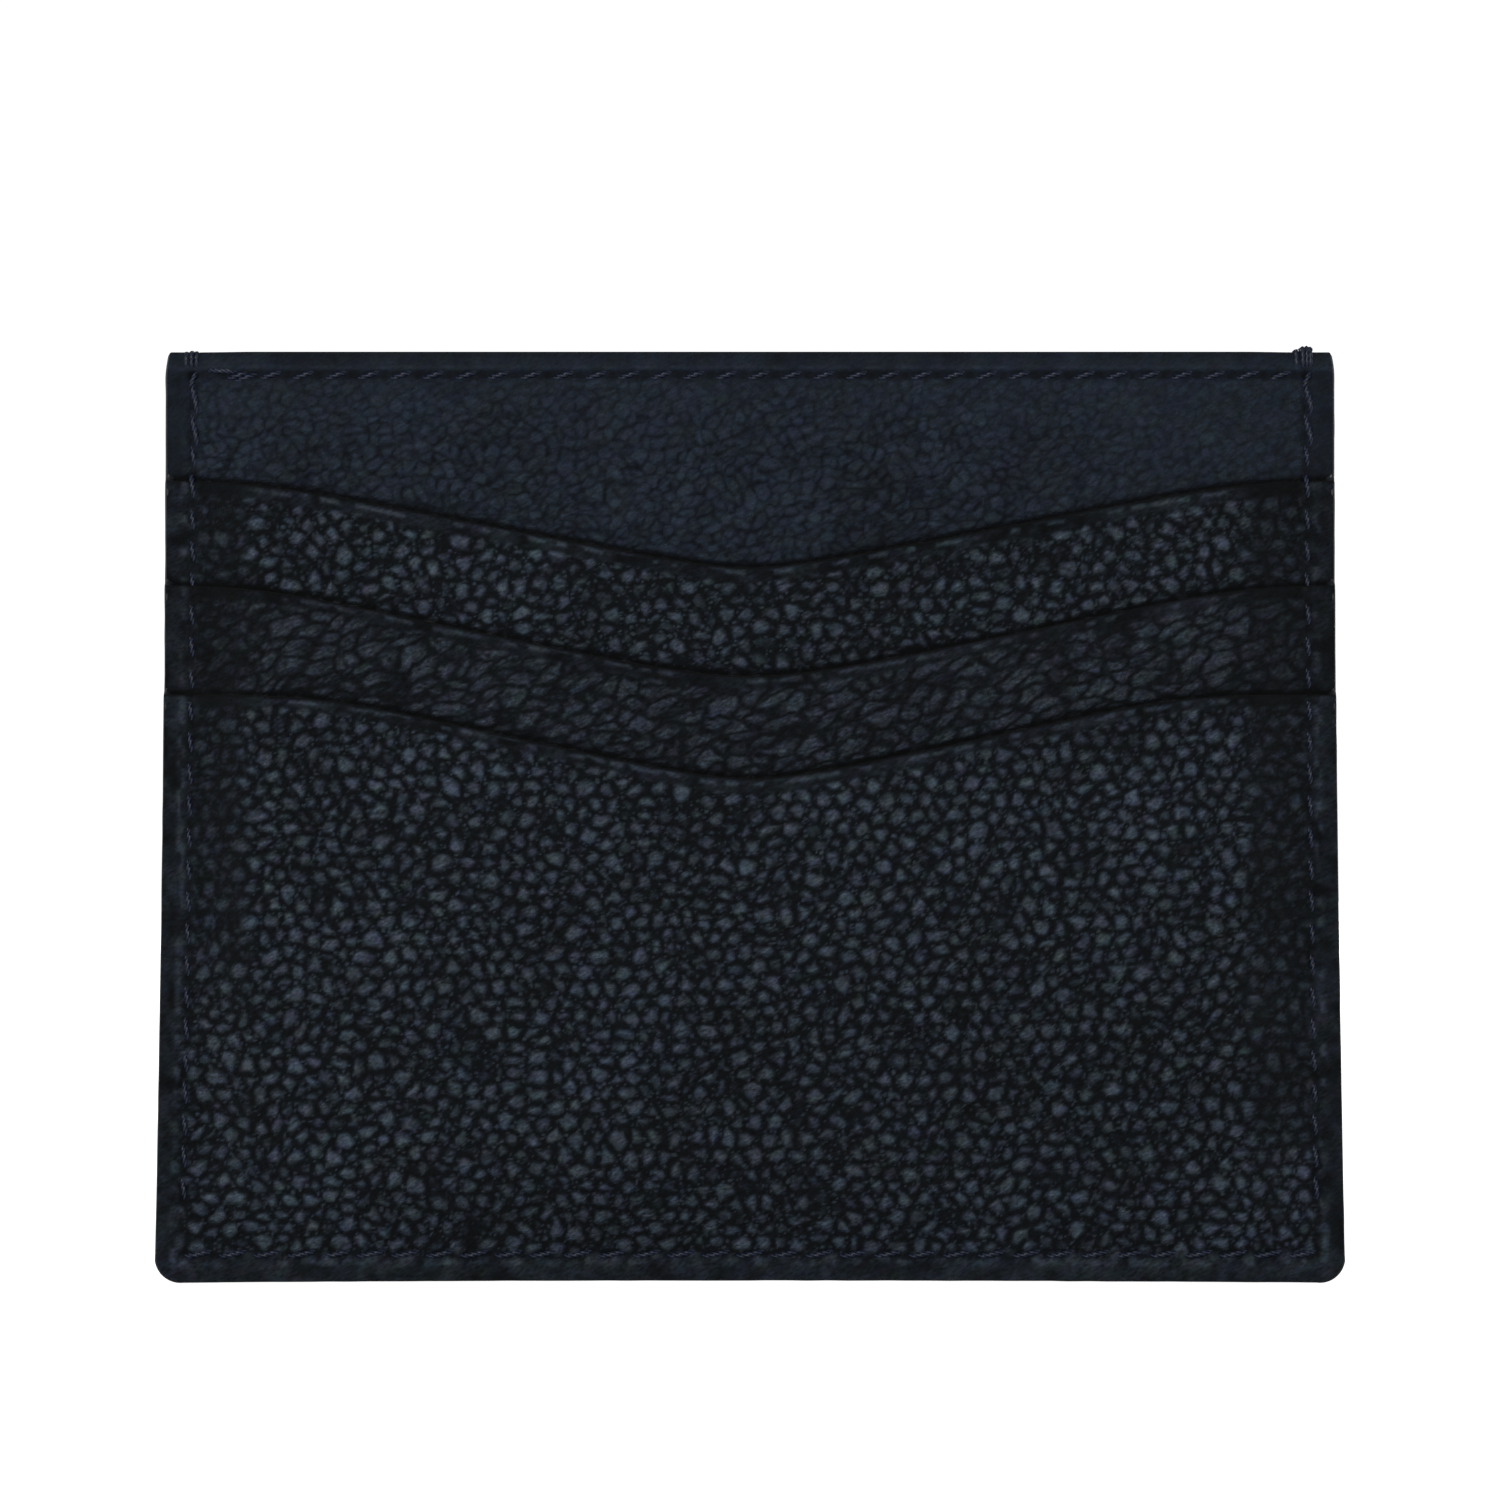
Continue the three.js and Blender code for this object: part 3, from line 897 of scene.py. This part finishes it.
def leather_bump(nodes, links, coord, speck, keep, micro):
    """Normals of the pores and fine wrinkles, stronger where the grain is kept."""
    wrinkle = node(nodes, "ShaderNodeTexVoronoi", feature="DISTANCE_TO_EDGE", Scale=2600.0)
    links.new(coord, wrinkle.inputs["Vector"])
    lines = ranged(nodes, links, wrinkle.outputs["Distance"], 0.0, 1.0, 0.0, 0.2)
    height = summed(nodes, links, speck, 1.6, lines)
    bump = node(nodes, "ShaderNodeBump", Distance=0.00006)
    links.new(height, bump.inputs["Height"])
    links.new(ranged(nodes, links, keep, 0.4 * micro, micro), bump.inputs["Strength"])
    return bump.outputs["Normal"]


def leather_material(name, valley, crown, rough_valley, rough_top, micro, mottled):
    material, nodes, links, shader = new_material(name)
    shader.inputs["Specular IOR Level"].default_value = 0.3
    coord = node(nodes, "ShaderNodeTexCoord").outputs["Object"]
    grain = node(nodes, "ShaderNodeAttribute", attribute_name="grain_top").outputs["Fac"]
    keep = node(nodes, "ShaderNodeAttribute", attribute_name="grain_keep").outputs["Fac"]
    cut = node(nodes, "ShaderNodeAttribute", attribute_name="paint_and_painted_shade").outputs["Fac"]
    speckled = node(nodes, "ShaderNodeTexNoise", Scale=3600.0, Detail=3.0, Roughness=0.7)
    links.new(coord, speckled.inputs["Vector"])
    speck = speckled.outputs["Fac"]

    tone = leather_tone(nodes, links, coord, grain, valley, crown, mottled)
    # the lips' dark edge paint, and painted shade in the seams' grooves and needle holes and painted shadow
    # in the gap behind each next lip
    tone = mixed(nodes, links, cut, tone, colour(6, 7, 9))
    links.new(tone, shader.inputs["Base Color"])
    rough = ranged(nodes, links, grain, rough_valley, rough_top)
    links.new(summed(nodes, links, speck, 0.2, rough), shader.inputs["Roughness"])
    bump = leather_bump(nodes, links, coord, speck, keep, micro)
    links.new(bump, shader.inputs["Normal"])
    return material


def thread_material():
    material, nodes, links, shader = new_material("navy_thread")
    shader.inputs["Roughness"].default_value = 0.42
    shader.inputs["Sheen Weight"].default_value = 0.25
    shader.inputs["Sheen Tint"].default_value = colour(70, 85, 130)
    coord = node(nodes, "ShaderNodeTexCoord").outputs["Object"]
    ply_top = node(nodes, "ShaderNodeAttribute", attribute_name="ply_top").outputs["Fac"]
    fibre = node(nodes, "ShaderNodeTexNoise", Scale=9000.0, Detail=2.0)
    links.new(coord, fibre.inputs["Vector"])
    lit = mixed(nodes, links, fibre.outputs["Fac"], colour(33, 43, 67), colour(56, 70, 104))
    # painted shade between the plies and painted light on their tops
    links.new(mixed(nodes, links, ply_top, colour(7, 9, 17), lit), shader.inputs["Base Color"])
    bump = node(nodes, "ShaderNodeBump", Distance=0.00002, Strength=0.6)
    links.new(fibre.outputs["Fac"], bump.inputs["Height"])
    links.new(bump.outputs["Normal"], shader.inputs["Normal"])
    return material


def paint_material():
    material, nodes, links, shader = new_material("edge_paint")
    coord = node(nodes, "ShaderNodeTexCoord").outputs["Object"]
    cloud = node(nodes, "ShaderNodeTexNoise", Scale=500.0, Detail=3.0)
    links.new(coord, cloud.inputs["Vector"])
    tone = mixed(nodes, links, cloud.outputs["Fac"], colour(17, 20, 25), colour(28, 32, 39))
    links.new(tone, shader.inputs["Base Color"])
    links.new(ranged(nodes, links, cloud.outputs["Fac"], 0.3, 0.5, 0.3, 0.7), shader.inputs["Roughness"])
    bump = node(nodes, "ShaderNodeBump", Distance=0.00003, Strength=0.5)
    links.new(cloud.outputs["Fac"], bump.inputs["Height"])
    links.new(bump.outputs["Normal"], shader.inputs["Normal"])
    return material


def woven(nodes, links, coord, axis, threads_per_metre):
    """Ridges of one set of threads, from 0 to 1."""
    wave = node(nodes, "ShaderNodeTexWave", bands_direction=axis, Scale=threads_per_metre / 20)
    links.new(coord, wave.inputs["Vector"])
    return wave.outputs["Fac"]


def lining_material():
    material, nodes, links, shader = new_material("woven_lining")
    shader.inputs["Roughness"].default_value = 0.8
    shader.inputs["Sheen Weight"].default_value = 0.3
    shader.inputs["Sheen Tint"].default_value = colour(120, 125, 140)
    coord = node(nodes, "ShaderNodeTexCoord").outputs["Object"]
    warp = woven(nodes, links, coord, "X", 3500)
    weft = woven(nodes, links, coord, "Z", 3500)
    cloth = node(nodes, "ShaderNodeMath", operation="MAXIMUM")
    links.new(warp, cloth.inputs[0])
    links.new(weft, cloth.inputs[1])
    tone = mixed(nodes, links, cloth.outputs["Value"], colour(12, 13, 16), colour(30, 32, 38))
    links.new(tone, shader.inputs["Base Color"])
    bump = node(nodes, "ShaderNodeBump", Distance=0.00005, Strength=0.7)
    links.new(cloth.outputs["Value"], bump.inputs["Height"])
    links.new(bump.outputs["Normal"], shader.inputs["Normal"])
    return material


# ---------------------------------------------------------------- stage, light and camera

CAMERA_Z = 45.2
FRAME_WIDTH = 127.5  # the picture's width, this far out from the middle plane:
FRAME_DEPTH = 0.6
LENS = 100.0
SENSOR = 36.0


def add_camera():
    data = bpy.data.cameras.new("camera")
    data.lens = LENS
    data.sensor_width = SENSOR
    data.clip_start = 0.01
    camera = bpy.data.objects.new("camera", data)
    distance = FRAME_WIDTH * LENS / SENSOR + FRAME_DEPTH
    camera.location = (0, -distance * MM, CAMERA_Z * MM)
    camera.rotation_euler = (math.pi / 2, 0, 0)
    bpy.context.scene.collection.objects.link(camera)
    bpy.context.scene.camera = camera


def add_softbox(name, place_m, target, size, watts):
    data = bpy.data.lights.new(name, "AREA")
    data.shape = "RECTANGLE"
    data.size, data.size_y = size
    data.energy = watts
    lamp = bpy.data.objects.new(name, data)
    lamp.location = place_m
    lamp.rotation_euler = (Vector(target) - Vector(place_m)).to_track_quat("-Z", "Y").to_euler()
    lamp.visible_camera = False
    bpy.context.scene.collection.objects.link(lamp)


def seen_brighter(tree, shader, socket, seen, unseen):
    """Gives the socket one value for the camera and another for every other ray."""
    path = tree.nodes.new("ShaderNodeLightPath")
    level = tree.nodes.new("ShaderNodeMapRange")
    level.inputs["To Min"].default_value = unseen
    level.inputs["To Max"].default_value = seen
    tree.links.new(path.outputs["Is Camera Ray"], level.inputs["Value"])
    tree.links.new(level.outputs["Result"], shader.inputs[socket])


def add_stage():
    half = 3.0
    corners = [(-half, -half, 0), (half, -half, 0), (half, half, 0), (-half, half, 0)]
    mesh = bpy.data.meshes.new("floor")
    mesh.from_pydata(corners, [], [(0, 1, 2, 3)])
    floor = bpy.data.objects.new("floor", mesh)
    floor.location.z = -0.0001
    bpy.context.scene.collection.objects.link(floor)
    material, _, _, shader = new_material("pale_floor")
    shader.inputs["Base Color"].default_value = (0.8, 0.8, 0.8, 1)
    shader.inputs["Roughness"].default_value = 1.0
    shader.inputs["Specular IOR Level"].default_value = 0.0
    shader.inputs["Emission Color"].default_value = (1, 1, 1, 1)
    seen_brighter(material.node_tree, shader, "Emission Strength", 1.0, 0.0)
    mesh.materials.append(material)


def add_world():
    world = bpy.data.worlds.new("studio")
    world.use_nodes = True
    back = world.node_tree.nodes["Background"]
    back.inputs["Color"].default_value = (1, 1, 1, 1)
    seen_brighter(world.node_tree, back, "Strength", 1.05, 0.05)
    bpy.context.scene.world = world


add_camera()
add_world()
add_stage()
add_softbox("front_key", (-0.16, -0.85, 0.24), (0, 0, 0.04), (0.4, 0.4), 3.2)
add_softbox("back_key", (0.16, 0.85, 0.24), (0, 0, 0.04), (0.4, 0.4), 3.2)
for name, x in (("left_fill", -0.8), ("right_fill", 0.8)):
    add_softbox(name, (x, 0, 0.2), (0, 0, 0.04), (0.5, 0.5), 1.5)
add_softbox("top_fill", (0, 0, 0.8), (0, 0, 0), (0.6, 0.6), 1.0)
bpy.context.scene.view_settings.view_transform = "Standard"

# ---------------------------------------------------------------- assembly

PEBBLED = leather_material("pebbled_leather", colour(6, 10, 14), colour(70, 82, 97), 1.0, 0.42, 0.7, 2.0)
FINE = leather_material("fine_leather", colour(6, 12, 22), colour(36, 49, 66), 0.85, 0.52, 0.6, 1.5)
FOLDED = leather_material("folded_leather", colour(6, 10, 14), colour(58, 68, 82), 0.95, 0.45, 0.8, 2.2)
LEATHERS = [FINE, PEBBLED, FOLDED, PEBBLED]
THREAD = thread_material()
LINING = lining_material()


def swing(piece, body, weights):
    """piece goes with body by each point's weight, and stays with the sewn rim where that is 0."""
    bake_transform(piece, "sewn_rim", body, start=(0, 0, HINGE_Z * MM), end=(0, 0, HEIGHT * MM))
    set_attribute(piece, "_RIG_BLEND", weights)


def dress(piece, material, slot, *replaced):
    piece.data.materials.append(material)
    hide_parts(*replaced)


def add_leather(side, k, seed):
    piece, weights = leather_sheet(side, k, seed)
    if k == 0:
        swing(piece, f"{side}_panel", weights)
        dress(piece, LEATHERS[k], "fine_leather", f"{side}_body_leather", f"{side}_sewn_margin")
    else:
        swing(piece, f"{side}_slot_{k}", weights)
        dress(piece, LEATHERS[k], "pebbled_leather", f"{side}_slot_{k}_leather")


def add_slot_lining(side, k):
    """The lining of slot k, hung behind its leather down to the slot's floor."""
    high = LIPS[k] - LIP_DIP[k] - LINING_DROP
    piece, weights = lining_sheet(side, f"slot_{k}_lining", k, DROP_FEET[k - 1], high)
    swing(piece, f"{side}_slot_{k}", weights)
    dress(piece, LINING, "lining", f"{side}_slot_{k}_lining")


def add_body_lining(side):
    piece, weights = lining_sheet(side, "body_lining", 0, HINGE_Z, LINING_TOP)
    swing(piece, f"{side}_panel", weights)
    dress(piece, LINING, "lining", f"{side}_body_lining")


def add_threads(side):
    seam, _ = thread_piece(f"{side}_seam_stitches", side, perimeter_stitches(), THREAD_R)
    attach(seam, "sewn_rim")
    dress(seam, THREAD, "thread", f"{side}_seam_thread")
    mouth, weights = thread_piece(f"{side}_mouth_stitches", side, mouth_stitches(), THREAD_R)
    swing(mouth, f"{side}_panel", weights)
    dress(mouth, THREAD, "thread", f"{side}_top_thread")
    for k in (1, 2):
        name = f"{side}_slot_{k}_floor_stitches"
        floor, weights = thread_piece(name, side, floor_stitches(side, k), FLOOR_THREAD_R)
        swing(floor, f"{side}_slot_{k}", weights)
        dress(floor, THREAD, "thread", f"{side}_slot_{k}_floor_thread")


for side, side_seed in (("front", 0), ("back", 100)):
    for k in range(4):
        add_leather(side, k, 11 * k + side_seed)
    for k in (1, 2, 3):
        add_slot_lining(side, k)
    add_body_lining(side)
    add_threads(side)

band = edge_paint_band()
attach(band, "sewn_rim")
dress(band, paint_material(), "edge_paint", "edge_paint")

LEFT_WRAPS = [(-47.85, -0.14), (-47.4, -0.06), (-47.0, -0.1)]  # where, and how proud of the edge
RIGHT_WRAPS = [(46.4, 0.08), (46.95, 0.32), (47.3, 0.36), (47.6, 0.28)]
WRAP_SHADE = 0.3  # the turns look evenly dark

turns = [edge_wrap(x, proud) for x, proud in LEFT_WRAPS + RIGHT_WRAPS]
wraps, _ = thread_piece("edge_wraps", "front", turns, THREAD_R)
set_attribute(wraps, "ply_top", np.full(len(wraps.data.vertices), WRAP_SHADE))
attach(wraps, "sewn_rim")
wraps.data.materials.append(THREAD)
